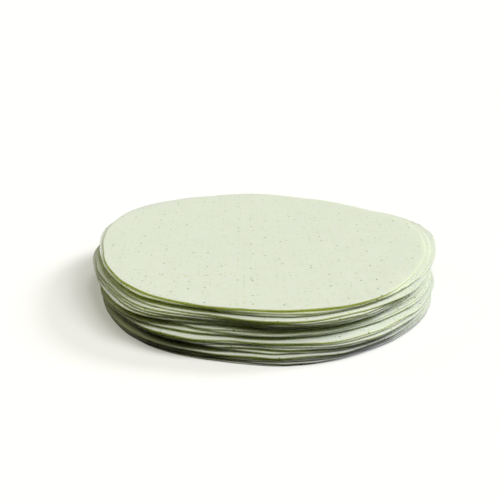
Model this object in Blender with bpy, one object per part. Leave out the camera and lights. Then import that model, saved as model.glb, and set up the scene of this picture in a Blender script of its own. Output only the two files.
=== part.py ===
"""A loose stack of raw papadums: thin round wafers of green-tinged dough, one solid for each wafer.

Metres, +Z up. The stack stands on z = 0 and its middle is over the origin. The front is towards -Y.
Papadums are numbered from the bottom, so papadum_01 carries all the others.
"""

import math

import bmesh
import bpy
import numpy as np

MM = 0.001

# Driving dimensions
COUNT = 22
RADIUS = 82.5 * MM
THICKNESS = 0.6 * MM
STACK_HEIGHT = 25.8 * MM
LEAST_GAP = 0.3 * MM

# The middle of the whole stack, measured from the middle of the top papadum: to the right, and back
STACK_MIDDLE = (1.7 * MM, -0.1 * MM)

# How the solids are faceted
SEGMENTS = 48
INNER_RINGS = (35 * MM, 67 * MM)
SHARP_ANGLE = 40

# How each papadum lies, from the bottom up, in millimetres: how far its middle is shifted to the
# right, how far towards the front, and how much larger its radius is than the top one's.
LIE = (
    (2.4, -0.6, 1.6),
    (2.2, -0.6, 1.2),
    (2.3, -0.4, 1.2),
    (2.0, -0.4, 0.8),
    (1.4, -0.3, 1.2),
    (2.0, -1.0, -1.3),
    (1.6, 0.3, 0.4),
    (1.3, 0.2, 1.6),
    (1.1, 0.3, 2.0),
    (1.8, 0.2, 2.4),
    (1.6, -1.0, -1.5),
    (1.4, 0.3, 0.8),
    (2.6, 0.2, -0.8),
    (2.2, -0.5, -0.6),
    (-0.2, -1.2, 0.4),
    (-0.2, 0.2, 0.6),
    (-0.2, 0.2, 1.2),
    (0.2, 0.3, 1.4),
    (0.6, 0.9, 1.2),
    (3.2, 0.2, -0.4),
    (0.8, 0.0, 0.6),
    (0.0, 0.0, 0.0),
)

# Where an edge bulges out or is drawn in: the lowest and highest papadum that it runs through, the
# direction and the spread in degrees, and how far in millimetres.
BULGES = (
    (22, 22, 2, 10, -2.0),
    (22, 22, 52, 8, 1.8),
    (22, 22, 108, 6, -1.8),
    (22, 22, 142, 11, 2.3),
    (21, 21, 18, 16, 4.0),
    (21, 21, 158, 13, 4.5),
    (21, 21, -14, 10, -1.5),
    (21, 21, -165, 18, -1.2),
    (21, 21, -131, 10, 1.5),
    (21, 21, -103, 15, -2.2),
    (21, 21, -72, 12, 1.4),
    (20, 20, 22, 15, 8.2),
    (20, 20, -90, 22, 1.9),
    (20, 20, -45, 18, -2.5),
    (19, 19, -158, 14, -2.8),
    (19, 19, -122, 10, 1.4),
    (19, 19, -83, 14, 2.2),
    (19, 19, -40, 8, 1.4),
    (16, 20, -106, 14, -3.5),
    (16, 18, -70, 14, 2.0),
    (18, 18, -72, 16, 0.8),
    (18, 18, -152, 12, -1.2),
    (18, 18, -125, 9, 2.6),
    (17, 17, -155, 14, -1.0),
    (17, 17, -126, 10, 3.6),
    (16, 16, 172, 12, 3.6),
    (16, 16, -127, 9, 4.4),
    (15, 15, -158, 12, 1.4),
    (15, 15, -130, 13, 5.0),
    (15, 15, -104, 14, -2.5),
    (14, 14, -113, 12, 1.8),
    (14, 14, -68, 36, -1.3),
    (13, 13, -80, 10, 0.9),
    (12, 12, -134, 16, 3.0),
    (12, 12, -56, 12, -1.0),
    (8, 12, -98, 14, -3.0),
    (8, 10, -178, 12, -2.2),
    (8, 10, -121, 12, 3.2),
    (10, 10, -74, 14, 1.2),
    (7, 10, -66, 18, 0.8),
    (9, 9, -66, 12, 1.2),
    (7, 8, -57, 20, 2.4),
    (7, 7, -112, 10, 1.4),
    (7, 7, -94, 10, -1.6),
    (2, 5, -130, 12, 2.1),
    (1, 5, -103, 12, -1.2),
    (1, 5, -80, 12, 1.8),
    (5, 5, -156, 10, -1.2),
    (5, 5, -60, 16, 2.0),
    (4, 5, -112, 14, 1.2),
    (6, 6, -68, 26, 4.5),
    (4, 4, -62, 14, 1.2),
    (2, 2, -162, 16, -1.1),
    (1, 1, -128, 12, 0.8),
    (1, 1, -158, 14, -0.8),
    (1, 1, -48, 24, -2.5),
)

# Where the air under a papadum gathers at the rim, or is missing: the papadum over the gap, the
# direction in degrees from +X, the spread in degrees, and its share next to an even one of about 1.
AIR_POCKETS = (
    (22, -77, 14, 6.0),
    (22, -140, 16, 6.0),
    (22, 25, 45, -1.0),
    (21, -140, 22, 8.0),
    (21, 25, 45, -1.0),
    (20, 25, 45, -1.0),
    (20, -90, 20, 1.0),
    (19, -155, 20, 3.0),
    (18, -75, 40, 1.5),
    (17, -75, 40, 1.5),
    (16, -80, 40, 2.5),
    (15, -115, 35, 7.0),
    (14, -70, 45, -1.0),
    (13, -75, 45, -1.0),
    (12, -75, 45, -1.0),
    (11, -75, 45, -1.0),
    (7, -75, 45, 6.0),
    (6, -125, 30, 9.0),
    (6, -60, 40, -0.8),
)

# Unevenness: waves round the rim. An outline wave is lower the more often it repeats, and a wave in
# the share of air has a height between the two given, also lower the more often it repeats.
SEED = 7
OUTLINE_WAVES = (2, 3, 4, 5)
OUTLINE_WAVE_HEIGHT = 0.5 * MM
AIR_WAVES = (1, 2, 3, 4)
AIR_WAVE_HEIGHTS = (0.2, 0.7)
LEAST_AIR_SHARE = 0.05

# Unevenness grows from the middle of a papadum outwards, and stops growing at this share of RADIUS
REACH_LIMIT = 1.1

# The top papadum as it lies: how far its rim rises, and its own outline, as (waves round the rim,
# height, direction of a crest in degrees).
TOP_RISE = ((1, 0.3 * MM, 180), (2, 0.4 * MM, 130))
TOP_OUTLINE = ((2, 1.9 * MM, 136), (3, 1.5 * MM, 13), (4, 1.0 * MM, 23), (5, 1.4 * MM, 14))

DOUGH_COLOUR = (0.745, 0.807, 0.665, 1.0)
DOUGH_ROUGHNESS = 0.8


def remove_everything():
    for thing in list(bpy.data.objects):
        bpy.data.objects.remove(thing)


def draw_unevenness():
    """Random outline waves and shares of air for every papadum, the same on each run."""
    rng = np.random.default_rng(SEED)
    outlines = []
    airs = []
    for _ in range(COUNT):
        outlines.append([(wave, OUTLINE_WAVE_HEIGHT * rng.normal() / wave, rng.uniform(0, 360))
                         for wave in OUTLINE_WAVES])
        airs.append([(wave, rng.uniform(*AIR_WAVE_HEIGHTS) / math.sqrt(wave), rng.uniform(0, 360))
                     for wave in AIR_WAVES])
    outlines[-1] = TOP_OUTLINE
    return outlines, airs


def sum_of_waves(waves, angle):
    """The sum of (count, height, crest direction) waves at an angle."""
    total = np.zeros_like(angle)
    for count, height, crest in waves:
        total += height * np.cos(count * (angle - math.radians(crest)))
    return total


def hump(angle, direction, spread):
    """1 in a direction, falling smoothly to 0 round the rim on both sides of it."""
    turn = np.cos(angle - math.radians(direction)) - 1.0
    return np.exp(turn / math.radians(spread) ** 2)


def outline_radius(number, angle, outlines):
    """Distance from the top papadum's middle line to a papadum's edge."""
    right, front, wider = (value * MM for value in LIE[number - 1])
    edge = RADIUS + wider + right * np.cos(angle) - front * np.sin(angle)
    for lowest, highest, direction, spread, height in BULGES:
        if lowest <= number <= highest:
            edge = edge + height * MM * hump(angle, direction, spread)
    return edge + sum_of_waves(outlines[number - 1], angle)


def top_face_height(reach, angle):
    """Height of the top papadum's upper face, whose rim rises and falls a little."""
    return STACK_HEIGHT + sum_of_waves(TOP_RISE, angle) * reach ** 2


def air_share(number, reach, angle, airs):
    """How much of the air in the stack lies under this papadum."""
    share = 1.0 + sum_of_waves(airs[number - 1], angle) * reach
    for over, direction, spread, size in AIR_POCKETS:
        if over == number:
            share = share + size * reach ** 2 * hump(angle, direction, spread)
    return np.maximum(share, 0.0) + LEAST_AIR_SHARE


def underside_height(number, x, y, airs):
    """Height of a papadum's underside: the wafers below it and the air between them."""
    reach = np.minimum(np.hypot(x, y) / RADIUS, REACH_LIMIT)
    angle = np.arctan2(y, x)
    spare = top_face_height(reach, angle) - COUNT * THICKNESS - (COUNT - 1) * LEAST_GAP
    shares = [air_share(each, reach, angle, airs) for each in range(2, COUNT + 1)]
    below = sum(shares[:number - 1]) if number > 1 else 0.0 * reach
    return (number - 1) * (THICKNESS + LEAST_GAP) + spare * below / sum(shares)


def flat_wafer():
    """A flat disc of the wafer's thickness, its two faces split into triangles alike."""
    wafer = bmesh.new()
    rings = INNER_RINGS + (RADIUS,)
    bmesh.ops.create_circle(wafer, cap_ends=True, cap_tris=True, segments=SEGMENTS, radius=rings[0])
    for inside, outside in zip(rings, rings[1:]):
        rim = [edge for edge in wafer.edges if edge.is_boundary]
        grown = bmesh.ops.extrude_edge_only(wafer, edges=rim)["geom"]
        new_rim = [item for item in grown if isinstance(item, bmesh.types.BMVert)]
        bmesh.ops.scale(wafer, verts=new_rim, vec=(outside / inside, outside / inside, 1.0))
    bmesh.ops.triangulate(wafer, faces=wafer.faces[:], quad_method="FIXED")
    lifted = bmesh.ops.extrude_face_region(wafer, geom=wafer.faces[:])["geom"]
    upper = [item for item in lifted if isinstance(item, bmesh.types.BMVert)]
    bmesh.ops.translate(wafer, verts=upper, vec=(0.0, 0.0, THICKNESS))
    bmesh.ops.triangulate(wafer, faces=wafer.faces[:], quad_method="FIXED")
    bmesh.ops.recalc_face_normals(wafer, faces=wafer.faces[:])
    return wafer


def lay(wafer, number, outlines, airs):
    """Give a flat wafer its own outline, let it settle on the wafers below, and centre the stack."""
    points = np.array([vertex.co[:] for vertex in wafer.verts])
    angle = np.arctan2(points[:, 1], points[:, 0])
    radius = np.hypot(points[:, 0], points[:, 1])
    on_rim = radius > (INNER_RINGS[-1] + RADIUS) / 2
    radius = np.where(on_rim, outline_radius(number, angle, outlines), radius)
    x = radius * np.cos(angle)
    y = radius * np.sin(angle)
    z = points[:, 2] + underside_height(number, x, y, airs)
    middle_x, middle_y = STACK_MIDDLE
    for vertex, place in zip(wafer.verts, zip(x - middle_x, y - middle_y, z)):
        vertex.co = place


def dough_material(name):
    material = bpy.data.materials.new(name)
    material.use_nodes = True
    shader = material.node_tree.nodes["Principled BSDF"]
    shader.inputs["Base Color"].default_value = DOUGH_COLOUR
    shader.inputs["Roughness"].default_value = DOUGH_ROUGHNESS
    shader.inputs["Metallic"].default_value = 0.0
    return material


def make_papadum(number, outlines, airs):
    wafer = flat_wafer()
    lay(wafer, number, outlines, airs)
    name = f"papadum_{number:02d}"
    mesh = bpy.data.meshes.new(name)
    wafer.to_mesh(mesh)
    wafer.free()
    mesh.shade_smooth()
    mesh.set_sharp_from_angle(angle=math.radians(SHARP_ANGLE))
    mesh.materials.append(dough_material(name + "_dough"))
    papadum = bpy.data.objects.new(name, mesh)
    bpy.context.scene.collection.objects.link(papadum)


def main():
    remove_everything()
    outlines, airs = draw_unevenness()
    for number in range(1, COUNT + 1):
        make_papadum(number, outlines, airs)


main()
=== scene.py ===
"""The looks of a loose stack of raw papadums: thin wafers of green-tinged, finely speckled dough.

Metres, +Z up; the front is towards -Y. Papadums are numbered from the bottom, as their solids are.
One wafer is modelled flat. Every papadum is a copy of it with its own edge and its own waves, laid on
the papadums below with the air of the real stack between them.
"""

import math

import bmesh
import bpy
import numpy as np
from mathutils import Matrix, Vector


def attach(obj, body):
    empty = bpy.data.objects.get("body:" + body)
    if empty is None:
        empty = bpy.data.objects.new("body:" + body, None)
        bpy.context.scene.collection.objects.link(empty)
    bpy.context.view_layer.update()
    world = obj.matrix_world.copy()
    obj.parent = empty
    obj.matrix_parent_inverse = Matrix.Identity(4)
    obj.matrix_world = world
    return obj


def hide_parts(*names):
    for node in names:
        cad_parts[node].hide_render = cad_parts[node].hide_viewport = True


MM = 0.001

# The stack's sizes, as its solids have them
COUNT = 22
RADIUS = 82.5 * MM
THICKNESS = 0.6 * MM
STACK_HEIGHT = 25.8 * MM
LEAST_GAP = 0.3 * MM
STACK_MIDDLE = (1.7 * MM, -0.1 * MM)

# The fine mesh of one wafer: a round field of squares, rings that get closer towards the rim, and a
# cut edge that is slightly rounded.
FIELD_SQUARES = 80
FIELD_RADIUS = 66 * MM
RING_RADII = (69 * MM, 72 * MM, 74.5 * MM, 76.5 * MM, 78.2 * MM, 79.6 * MM, 80.8 * MM, 81.7 * MM, RADIUS)
EDGE_ROUNDING = 0.08 * MM
EDGE_SEGMENTS = 2
SHARP_ANGLE = 50

# How each papadum lies, from the bottom up, in millimetres: how far its middle is shifted to the
# right, how far towards the front, and how much larger its radius is than the top one's.
LIE = (
    (2.4, -0.6, 1.6),
    (2.2, -0.6, 1.2),
    (2.3, -0.4, 1.2),
    (2.0, -0.4, 0.8),
    (1.4, -0.3, 1.2),
    (2.0, -1.0, -1.3),
    (1.6, 0.3, 0.4),
    (1.3, 0.2, 1.6),
    (1.1, 0.3, 2.0),
    (1.8, 0.2, 2.4),
    (1.6, -1.0, -1.5),
    (1.4, 0.3, 0.8),
    (2.6, 0.2, -0.8),
    (2.2, -0.5, -0.6),
    (-0.2, -1.2, 0.4),
    (-0.2, 0.2, 0.6),
    (-0.2, 0.2, 1.2),
    (0.2, 0.3, 1.4),
    (0.6, 0.9, 1.2),
    (3.2, 0.2, -0.4),
    (0.8, 0.0, 0.6),
    (0.0, 0.0, 0.0),
)

# Where an edge bulges out or is drawn in: the lowest and highest papadum that it runs through, the
# direction and the spread in degrees, and how far in millimetres.
BULGES = (
    (22, 22, 2, 10, -2.0),
    (22, 22, 52, 8, 1.8),
    (22, 22, 108, 6, -1.8),
    (22, 22, 142, 11, 2.3),
    (21, 21, 18, 16, 4.0),
    (21, 21, 158, 13, 4.5),
    (21, 21, -14, 10, -1.5),
    (21, 21, -165, 18, -1.2),
    (21, 21, -131, 10, 1.5),
    (21, 21, -103, 15, -2.2),
    (21, 21, -72, 12, 1.4),
    (20, 20, 22, 15, 8.2),
    (20, 20, -90, 22, 1.9),
    (20, 20, -45, 18, -2.5),
    (19, 19, -158, 14, -2.8),
    (19, 19, -122, 10, 1.4),
    (19, 19, -83, 14, 2.2),
    (19, 19, -40, 8, 1.4),
    (16, 20, -106, 14, -3.5),
    (16, 18, -70, 14, 2.0),
    (18, 18, -72, 16, 0.8),
    (18, 18, -152, 12, -1.2),
    (18, 18, -125, 9, 2.6),
    (17, 17, -155, 14, -1.0),
    (17, 17, -126, 10, 3.6),
    (16, 16, 172, 12, 3.6),
    (16, 16, -127, 9, 4.4),
    (15, 15, -158, 12, 1.4),
    (15, 15, -130, 13, 5.0),
    (15, 15, -104, 14, -2.5),
    (14, 14, -113, 12, 1.8),
    (14, 14, -68, 36, -1.3),
    (13, 13, -80, 10, 0.9),
    (12, 12, -134, 16, 3.0),
    (12, 12, -56, 12, -1.0),
    (8, 12, -98, 14, -3.0),
    (8, 10, -178, 12, -2.2),
    (8, 10, -121, 12, 3.2),
    (10, 10, -74, 14, 1.2),
    (7, 10, -66, 18, 0.8),
    (9, 9, -66, 12, 1.2),
    (7, 8, -57, 20, 2.4),
    (7, 7, -112, 10, 1.4),
    (7, 7, -94, 10, -1.6),
    (2, 5, -130, 12, 2.1),
    (1, 5, -103, 12, -1.2),
    (1, 5, -80, 12, 1.8),
    (5, 5, -156, 10, -1.2),
    (5, 5, -60, 16, 2.0),
    (4, 5, -112, 14, 1.2),
    (6, 6, -68, 26, 4.5),
    (4, 4, -62, 14, 1.2),
    (2, 2, -162, 16, -1.1),
    (1, 1, -128, 12, 0.8),
    (1, 1, -158, 14, -0.8),
    (1, 1, -48, 24, -2.5),
)

# Where the air under a papadum gathers at the rim, or is missing: the papadum over the gap, the
# direction in degrees from +X, the spread in degrees, and its share next to an even one of about 1.
AIR_POCKETS = (
    (22, -77, 14, 6.0),
    (22, -140, 16, 6.0),
    (22, 25, 45, -1.0),
    (21, -140, 22, 8.0),
    (21, 25, 45, -1.0),
    (20, 25, 45, -1.0),
    (20, -90, 20, 1.0),
    (19, -155, 20, 3.0),
    (18, -75, 40, 1.5),
    (17, -75, 40, 1.5),
    (16, -80, 40, 2.5),
    (15, -115, 35, 7.0),
    (14, -70, 45, -1.0),
    (13, -75, 45, -1.0),
    (12, -75, 45, -1.0),
    (11, -75, 45, -1.0),
    (7, -75, 45, 6.0),
    (6, -125, 30, 9.0),
    (6, -60, 40, -0.8),
)

# Unevenness: waves round the rim, as the solids have them
SEED = 7
OUTLINE_WAVES = (2, 3, 4, 5)
OUTLINE_WAVE_HEIGHT = 0.5 * MM
AIR_WAVES = (1, 2, 3, 4)
AIR_WAVE_HEIGHTS = (0.2, 0.7)
LEAST_AIR_SHARE = 0.05
REACH_LIMIT = 1.1
TOP_RISE = ((1, 0.3 * MM, 180), (2, 0.4 * MM, 130))
TOP_OUTLINE = ((2, 1.9 * MM, 136), (3, 1.5 * MM, 13), (4, 1.0 * MM, 23), (5, 1.4 * MM, 14))

# Finer unevenness, which only the looks have: the cut edge is a little ragged, the rim cockles as it
# dries, and the faces are slightly dented.
FINE_SEED = 31
RAGGED_WAVES = (7, 10, 14, 19, 26, 35, 48)
RAGGED_HEIGHT = 0.07 * MM
COCKLE_WAVES = (7, 10, 14, 19)
COCKLE_SHARE = 0.35
COCKLE_RIM_POWER = 8
DENT_COUNT = 14
DENT_LENGTHS = (7 * MM, 30 * MM)
DENT_HEIGHT = 0.018 * MM

# Dough: its colour, other colours that it turns to in patches, as (length of a patch, where in the
# noise it starts, strength, colour), and the flecks in it, as (spacing, size from the middle, share
# that shows, strength, colour). The grain is a fine bump, and THROUGH_DOUGH is the colour of the light
# that comes through a wafer.
DOUGH = (0.845, 0.865, 0.98)
DOUGH_PATCHES = (
    (45 * MM, 0.35, 0.60, (0.81, 0.85, 0.96)),
    (9 * MM, 0.35, 0.35, (0.87, 0.84, 0.96)),
    (2.5 * MM, 0.30, 0.45, (0.79, 0.84, 0.92)),
    (0.9 * MM, 0.30, 0.25, (0.75, 0.79, 0.88)),
)
FLECKS = (
    (1.6 * MM, 0.36 * MM, 0.30, 0.35, (0.42, 0.58, 0.08)),
    (4.5 * MM, 0.45 * MM, 0.40, 0.35, (0.52, 0.30, 0.12)),
    (3.0 * MM, 0.46 * MM, 0.28, 0.72, (0.28, 0.44, 0.01)),
    (7.0 * MM, 0.55 * MM, 0.30, 0.95, (0.06, 0.12, 0.02)),
)
FLECK_CORE = 0.5
FAINT_FLECKS = 0.6
PATCH_DETAIL = 2.0
NUMBER_ATTRIBUTE = "papadum_number"
PATTERN_STEP = (0.37, 0.21, 0.0)
WOBBLE_LENGTH = 1.2 * MM
WOBBLE_DETAIL = 2.0
WOBBLE = (0.6 * MM, 0.4 * MM, 0.0)
GRAIN_LENGTH = 0.9 * MM
GRAIN_DETAIL = 3.0
GRAIN_DEPTH = 0.05 * MM
GRAIN_STRENGTH = 0.3
THROUGH_DOUGH = (0.95, 1.0, 0.20)
TRANSLUCENCE = 0.42
DOUGH_ROUGHNESS = 0.8
DOUGH_SHINE = 0.25

# Floor, walls and light. The floor glows faintly, so that shadows on it stay pale. The walls look white
# and give hardly any light. A light is given by its direction, counted from +X towards +Y, its height
# and its softness, all in degrees, its strength and its colour.
FLOOR_SIZE = 12.0
FLOOR_GREY = 0.62
FLOOR_GLOW = 0.25
WHITE = (1.0, 1.0, 1.0)
YELLOWISH_WHITE = (1.0, 0.98, 0.55)
LIGHTS = (
    ("side_light", 15, 36, 18, 1.75, WHITE),
    ("main_light", -28, 48, 25, 1.8, WHITE),
    ("high_light", -55, 65, 20, 1.1, WHITE),
    ("left_light", -118, 60, 30, 0.5, YELLOWISH_WHITE),
    ("back_light", 155, 35, 30, 0.4, YELLOWISH_WHITE),
)
WALL_LIGHT = 0.003
WALL_WHITENESS = 1.0

# Camera
CAMERA_TARGET = (-7.7 * MM, 0.1 * MM, 12.0 * MM)
CAMERA_DISTANCE = 437 * MM
CAMERA_ELEVATION = 21.9
CAMERA_LIFT = 1.105
CAMERA_LENS = 61.08
CAMERA_SENSOR = 36.0
CAMERA_NEAREST = 10 * MM


def place_camera():
    """A camera that looks slightly down on the stack, which sits a little below the frame's middle."""
    elevation = math.radians(CAMERA_ELEVATION)
    target = Vector(CAMERA_TARGET)
    camera_data = bpy.data.cameras.new("camera")
    camera_data.sensor_width = CAMERA_SENSOR
    camera_data.lens = CAMERA_LENS
    camera_data.clip_start = CAMERA_NEAREST
    camera = bpy.data.objects.new("camera", camera_data)
    camera.location = target + Vector((0, -math.cos(elevation), math.sin(elevation))) * CAMERA_DISTANCE
    camera.rotation_euler = (math.radians(90 - CAMERA_ELEVATION + CAMERA_LIFT), 0, 0)
    bpy.context.scene.collection.objects.link(camera)
    bpy.context.scene.camera = camera


def place_soft_sun(name, azimuth, elevation, softness, strength, colour):
    """A wide, even light from one side."""
    light_data = bpy.data.lights.new(name, "SUN")
    light_data.energy = strength
    light_data.color = colour
    light_data.angle = math.radians(softness)
    light = bpy.data.objects.new(name, light_data)
    across = math.cos(math.radians(elevation))
    towards = Vector((across * math.cos(math.radians(azimuth)),
                      across * math.sin(math.radians(azimuth)),
                      math.sin(math.radians(elevation))))
    light.rotation_euler = towards.to_track_quat("Z", "Y").to_euler()
    bpy.context.scene.collection.objects.link(light)


def studio_walls():
    """White walls, far away: they look white, and give hardly any light."""
    world = bpy.data.worlds.new("studio")
    world.use_nodes = True
    tree = world.node_tree
    background = tree.nodes["Background"]
    background.inputs["Color"].default_value = (*WHITE, 1.0)
    looked_at = tree.nodes.new("ShaderNodeLightPath").outputs["Is Camera Ray"]
    strength = ramp(tree, looked_at, 0.0, 1.0, WALL_LIGHT, WALL_WHITENESS)
    tree.links.new(strength, background.inputs["Strength"])
    return world


def light_the_studio():
    """Soft lights, most of them from the right and the front, between white walls."""
    for light in LIGHTS:
        place_soft_sun(*light)
    bpy.context.scene.world = studio_walls()
    bpy.context.scene.view_settings.view_transform = "Standard"


def lay_floor():
    """A wide, pale floor. It lights no gap of the stack, and isn't seen through the thin wafers."""
    bpy.ops.mesh.primitive_plane_add(size=FLOOR_SIZE)
    floor = bpy.context.object
    floor.name = "floor"
    paint = bpy.data.materials.new("floor_white")
    paint.use_nodes = True
    shader = paint.node_tree.nodes["Principled BSDF"]
    shader.inputs["Base Color"].default_value = (FLOOR_GREY, FLOOR_GREY, FLOOR_GREY, 1.0)
    shader.inputs["Roughness"].default_value = 1.0
    shader.inputs["Specular IOR Level"].default_value = 0.0
    shader.inputs["Emission Color"].default_value = (*WHITE, 1.0)
    shader.inputs["Emission Strength"].default_value = FLOOR_GLOW
    floor.data.materials.append(paint)
    floor.visible_diffuse = False
    floor.visible_transmission = False


def draw_unevenness():
    """Random outline waves and shares of air for every papadum, the same on each run."""
    rng = np.random.default_rng(SEED)
    outlines = []
    airs = []
    for _ in range(COUNT):
        outlines.append([(wave, OUTLINE_WAVE_HEIGHT * rng.normal() / wave, rng.uniform(0, 360))
                         for wave in OUTLINE_WAVES])
        airs.append([(wave, rng.uniform(*AIR_WAVE_HEIGHTS) / math.sqrt(wave), rng.uniform(0, 360))
                     for wave in AIR_WAVES])
    outlines[-1] = TOP_OUTLINE
    return outlines, airs


def draw_fine_unevenness():
    """Ragged edges, cockles and dents for every papadum, the same on each run."""
    rng = np.random.default_rng(FINE_SEED)
    ragged = []
    cockles = []
    dents = []
    for _ in range(COUNT):
        ragged.append([(wave, RAGGED_HEIGHT * rng.normal() * math.sqrt(RAGGED_WAVES[0] / wave),
                        rng.uniform(0, 360)) for wave in RAGGED_WAVES])
        cockles.append([(wave, COCKLE_SHARE * rng.normal() * math.sqrt(COCKLE_WAVES[0] / wave),
                         rng.uniform(0, 360)) for wave in COCKLE_WAVES])
        dents.append([(rng.uniform(*DENT_LENGTHS), rng.uniform(0, 360), rng.uniform(0, 360))
                      for _ in range(DENT_COUNT)])
    return ragged, cockles, dents


def sum_of_waves(waves, angle):
    """The sum of (count, height, crest direction) waves at an angle."""
    total = np.zeros_like(angle)
    for count, height, crest in waves:
        total += height * np.cos(count * (angle - math.radians(crest)))
    return total


def hump(angle, direction, spread):
    """1 in a direction, falling smoothly to 0 round the rim on both sides of it."""
    turn = np.cos(angle - math.radians(direction)) - 1.0
    return np.exp(turn / math.radians(spread) ** 2)


def outline_radius(number, angle, outlines, ragged):
    """Distance from the top papadum's middle line to a papadum's edge."""
    right, front, wider = (value * MM for value in LIE[number - 1])
    edge = RADIUS + wider + right * np.cos(angle) - front * np.sin(angle)
    for lowest, highest, direction, spread, height in BULGES:
        if lowest <= number <= highest:
            edge = edge + height * MM * hump(angle, direction, spread)
    edge = edge + sum_of_waves(outlines[number - 1], angle)
    return edge + sum_of_waves(ragged[number - 1], angle)


def top_face_height(reach, angle):
    """Height of the top papadum's upper face, whose rim rises and falls a little."""
    return STACK_HEIGHT + sum_of_waves(TOP_RISE, angle) * reach ** 2


def air_share(number, reach, angle, airs, cockles):
    """How much of the air in the stack lies under this papadum."""
    share = 1.0 + sum_of_waves(airs[number - 1], angle) * reach
    share = share + sum_of_waves(cockles[number - 1], angle) * reach ** COCKLE_RIM_POWER
    for over, direction, spread, size in AIR_POCKETS:
        if over == number:
            share = share + size * reach ** 2 * hump(angle, direction, spread)
    return np.maximum(share, 0.0) + LEAST_AIR_SHARE


def underside_height(number, x, y, airs, cockles):
    """Height of a papadum's underside: the wafers below it and the air between them."""
    reach = np.minimum(np.hypot(x, y) / RADIUS, REACH_LIMIT)
    angle = np.arctan2(y, x)
    spare = top_face_height(reach, angle) - COUNT * THICKNESS - (COUNT - 1) * LEAST_GAP
    shares = [air_share(each, reach, angle, airs, cockles) for each in range(2, COUNT + 1)]
    below = sum(shares[:number - 1])
    return (number - 1) * (THICKNESS + LEAST_GAP) + spare * below / sum(shares)


def dent_depth(x, y, dents):
    """A shallow pattern of dents that cross each other in all directions."""
    total = np.zeros_like(x)
    for length, direction, start in dents:
        along = x * math.cos(math.radians(direction)) + y * math.sin(math.radians(direction))
        total += DENT_HEIGHT * np.cos(2 * math.pi * along / length + math.radians(start))
    return total


def vertex_places(mesh):
    """The places of a mesh's vertices, one row each."""
    places = np.empty(len(mesh.vertices) * 3)
    mesh.vertices.foreach_get("co", places)
    return places.reshape(-1, 3)


def set_vertex_places(mesh, places):
    """Move each vertex of a mesh to its row's place."""
    mesh.vertices.foreach_set("co", places.ravel())
    mesh.update()


def round_the_field(mesh):
    """Turn a square field of squares into a round one."""
    places = vertex_places(mesh)
    across = places[:, 0] / FIELD_RADIUS
    back = places[:, 1] / FIELD_RADIUS
    places[:, 0] = FIELD_RADIUS * across * np.sqrt(1 - back ** 2 / 2)
    places[:, 1] = FIELD_RADIUS * back * np.sqrt(1 - across ** 2 / 2)
    set_vertex_places(mesh, places)


def select_edges(mesh, wanted):
    """In edit mode, select only the edges that answer to a test."""
    bpy.ops.mesh.select_all(action="DESELECT")
    editing = bmesh.from_edit_mesh(mesh)
    for edge in editing.edges:
        edge.select_set(wanted(edge))
    editing.select_flush_mode()
    bmesh.update_edit_mesh(mesh)


def is_corner_of_cut(edge):
    """Whether an edge lies between a flat face, which looks up or down, and the cut side."""
    upright_parts = [round(abs(face.normal.z)) for face in edge.link_faces]
    return sorted(upright_parts) == [0, 1]


def model_flat_wafer():
    """One flat wafer, with close rings at its rim and a cut edge that is slightly rounded."""
    bpy.ops.object.select_all(action="DESELECT")
    bpy.ops.mesh.primitive_grid_add(x_subdivisions=FIELD_SQUARES, y_subdivisions=FIELD_SQUARES,
                                    size=2 * FIELD_RADIUS)
    wafer = bpy.context.object
    round_the_field(wafer.data)
    bpy.ops.object.mode_set(mode="EDIT")
    bpy.ops.mesh.select_mode(type="EDGE")
    inside = FIELD_RADIUS
    for outside in RING_RADII:
        select_edges(wafer.data, lambda edge: edge.is_boundary)
        bpy.ops.mesh.extrude_edges_move()
        bpy.ops.transform.resize(value=(outside / inside, outside / inside, 1), center_override=(0, 0, 0))
        inside = outside
    bpy.ops.mesh.select_all(action="SELECT")
    bpy.ops.mesh.extrude_region_move(TRANSFORM_OT_translate={"value": (0, 0, THICKNESS)})
    bpy.ops.mesh.select_all(action="SELECT")
    bpy.ops.mesh.normals_make_consistent(inside=False)
    select_edges(wafer.data, is_corner_of_cut)
    bpy.ops.mesh.bevel(offset=EDGE_ROUNDING, segments=EDGE_SEGMENTS, affect="EDGES")
    bpy.ops.object.mode_set(mode="OBJECT")
    bpy.ops.object.shade_smooth_by_angle(angle=math.radians(SHARP_ANGLE))
    return wafer


def lay(papadum, number, unevenness):
    """Give a flat wafer its own outline, let it settle on the wafers below, and centre the stack."""
    outlines, airs, ragged, cockles, dents = unevenness
    flat = vertex_places(papadum.data)
    angle = np.arctan2(flat[:, 1], flat[:, 0])
    radius = np.hypot(flat[:, 0], flat[:, 1])
    near_rim = np.clip((radius - FIELD_RADIUS) / (RADIUS - FIELD_RADIUS), 0.0, 1.0)
    radius = radius + near_rim * (outline_radius(number, angle, outlines, ragged) - RADIUS)
    x = radius * np.cos(angle)
    y = radius * np.sin(angle)
    height = underside_height(number, x, y, airs, cockles)
    lies_on_others = number > 1
    if lies_on_others:
        height = height + dent_depth(x, y, dents[number - 1])
    middle_x, middle_y = STACK_MIDDLE
    places = np.column_stack([x - middle_x, y - middle_y, flat[:, 2] + height])
    set_vertex_places(papadum.data, places)


def make_papadum(wafer, number, unevenness, dough):
    """A copy of the flat wafer, laid in its place in the stack."""
    papadum = bpy.data.objects.new(f"papadum_wafer_{number:02d}", wafer.data.copy())
    bpy.context.scene.collection.objects.link(papadum)
    lay(papadum, number, unevenness)
    papadum.data.materials.append(dough)
    attribute = papadum.data.attributes.new(NUMBER_ATTRIBUTE, "FLOAT", "POINT")
    attribute.data.foreach_set("value", np.full(len(papadum.data.vertices), float(number)))
    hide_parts(f"papadum_{number:02d}")
    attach(papadum, "root")


def add_node(tree, kind, **inputs):
    """A new node, with values for its inputs by name."""
    node = tree.nodes.new(kind)
    for name, value in inputs.items():
        node.inputs[name.replace("_", " ")].default_value = value
    return node


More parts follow.
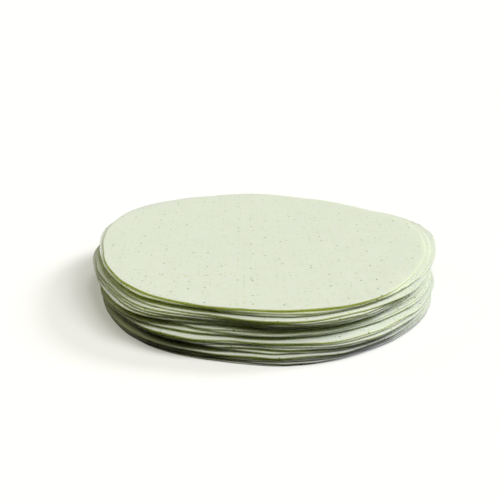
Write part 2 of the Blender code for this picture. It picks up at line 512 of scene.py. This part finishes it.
def noise(tree, where, length, detail):
    """Smooth noise whose features are about a given length across."""
    texture = add_node(tree, "ShaderNodeTexNoise", Scale=1 / length, Detail=detail)
    tree.links.new(where, texture.inputs["Vector"])
    return texture


def ramp(tree, value, start, end, low=0.0, high=1.0):
    """A value carried smoothly from low at its start to high at its end."""
    fade = add_node(tree, "ShaderNodeMapRange", From_Min=start, From_Max=end, To_Min=low, To_Max=high)
    fade.interpolation_type = "SMOOTHSTEP"
    tree.links.new(value, fade.inputs["Value"])
    return fade.outputs["Result"]


def multiply(tree, first, second):
    """Two values multiplied by each other."""
    product = tree.nodes.new("ShaderNodeMath")
    product.operation = "MULTIPLY"
    tree.links.new(first, product.inputs[0])
    tree.links.new(second, product.inputs[1])
    return product.outputs["Value"]


def add_scaled(tree, vector, factors, place):
    """A place moved by a vector whose parts are first multiplied by their factors."""
    sum_of_both = tree.nodes.new("ShaderNodeVectorMath")
    sum_of_both.operation = "MULTIPLY_ADD"
    tree.links.new(vector, sum_of_both.inputs[0])
    sum_of_both.inputs[1].default_value = factors
    tree.links.new(place, sum_of_both.inputs[2])
    return sum_of_both.outputs["Vector"]


def tint(tree, share, base, colour):
    """A base colour, as a value or as a socket, that turns to another one by a share."""
    mix = tree.nodes.new("ShaderNodeMix")
    mix.data_type = "RGBA"
    tree.links.new(share, mix.inputs["Factor"])
    if isinstance(base, tuple):
        mix.inputs["A"].default_value = (*base, 1.0)
    else:
        tree.links.new(base, mix.inputs["A"])
    mix.inputs["B"].default_value = (*colour, 1.0)
    return mix.outputs["Result"]


def flecks(tree, where, spacing, size, kept, strength):
    """A share for small flecks: one for each cell of a loose flat pattern, of which some are kept."""
    cells = add_node(tree, "ShaderNodeTexVoronoi", Scale=1 / spacing, Randomness=1.0)
    cells.voronoi_dimensions = "2D"
    tree.links.new(where, cells.inputs["Vector"])
    spots = ramp(tree, cells.outputs["Distance"], size / spacing, FLECK_CORE * size / spacing)
    chance = tree.nodes.new("ShaderNodeSeparateColor")
    tree.links.new(cells.outputs["Color"], chance.inputs["Color"])
    chosen = ramp(tree, chance.outputs["Red"], 1 - kept, 1 - FAINT_FLECKS * kept, 0.0, strength)
    return multiply(tree, spots, chosen)


def pattern_place(tree):
    """Where a point is in the pattern: moved on for each papadum, so that no two show the same flecks."""
    place = tree.nodes.new("ShaderNodeTexCoord").outputs["Object"]
    number = tree.nodes.new("ShaderNodeAttribute")
    number.attribute_name = NUMBER_ATTRIBUTE
    moved = add_scaled(tree, number.outputs["Fac"], PATTERN_STEP, place)
    wobble = noise(tree, moved, WOBBLE_LENGTH, WOBBLE_DETAIL)
    return moved, add_scaled(tree, wobble.outputs["Color"], WOBBLE, moved)


def dough_material():
    """Dried lentil dough: matte, pale, green-tinged and slightly see-through, with tiny flecks."""
    material = bpy.data.materials.new("papadum_dough")
    material.use_nodes = True
    tree = material.node_tree
    even, uneven = pattern_place(tree)

    colour = DOUGH
    for length, start, strength, other in DOUGH_PATCHES:
        patches = noise(tree, even, length, PATCH_DETAIL)
        share = ramp(tree, patches.outputs["Fac"], start, 1 - start, 0.0, strength)
        colour = tint(tree, share, colour, other)
    for spacing, size, kept, strength, other in FLECKS:
        colour = tint(tree, flecks(tree, uneven, spacing, size, kept, strength), colour, other)

    shader = tree.nodes["Principled BSDF"]
    tree.links.new(colour, shader.inputs["Base Color"])
    shader.inputs["Roughness"].default_value = DOUGH_ROUGHNESS
    shader.inputs["Specular IOR Level"].default_value = DOUGH_SHINE
    grain = noise(tree, even, GRAIN_LENGTH, GRAIN_DETAIL)
    bump = add_node(tree, "ShaderNodeBump", Strength=GRAIN_STRENGTH, Distance=GRAIN_DEPTH)
    tree.links.new(grain.outputs["Fac"], bump.inputs["Height"])
    tree.links.new(bump.outputs["Normal"], shader.inputs["Normal"])

    through = add_node(tree, "ShaderNodeBsdfTranslucent", Color=(*THROUGH_DOUGH, 1.0))
    both = tree.nodes.new("ShaderNodeMixShader")
    both.inputs["Fac"].default_value = TRANSLUCENCE
    tree.links.new(shader.outputs["BSDF"], both.inputs[1])
    tree.links.new(through.outputs["BSDF"], both.inputs[2])
    tree.links.new(both.outputs["Shader"], tree.nodes["Material Output"].inputs["Surface"])
    return material


def stack_the_papadums():
    """All papadums, each a copy of one flat wafer, from the bottom up."""
    unevenness = draw_unevenness() + draw_fine_unevenness()
    dough = dough_material()
    wafer = model_flat_wafer()
    for number in range(1, COUNT + 1):
        make_papadum(wafer, number, unevenness, dough)
    bpy.data.objects.remove(wafer)


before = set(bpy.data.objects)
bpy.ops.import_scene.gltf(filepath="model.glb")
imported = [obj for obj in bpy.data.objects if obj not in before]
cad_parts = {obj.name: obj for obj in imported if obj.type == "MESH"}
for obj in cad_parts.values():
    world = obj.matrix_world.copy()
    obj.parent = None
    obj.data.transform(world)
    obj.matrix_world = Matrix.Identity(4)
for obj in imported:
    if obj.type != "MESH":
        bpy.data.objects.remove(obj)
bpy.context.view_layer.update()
place_camera()
light_the_studio()
lay_floor()
stack_the_papadums()
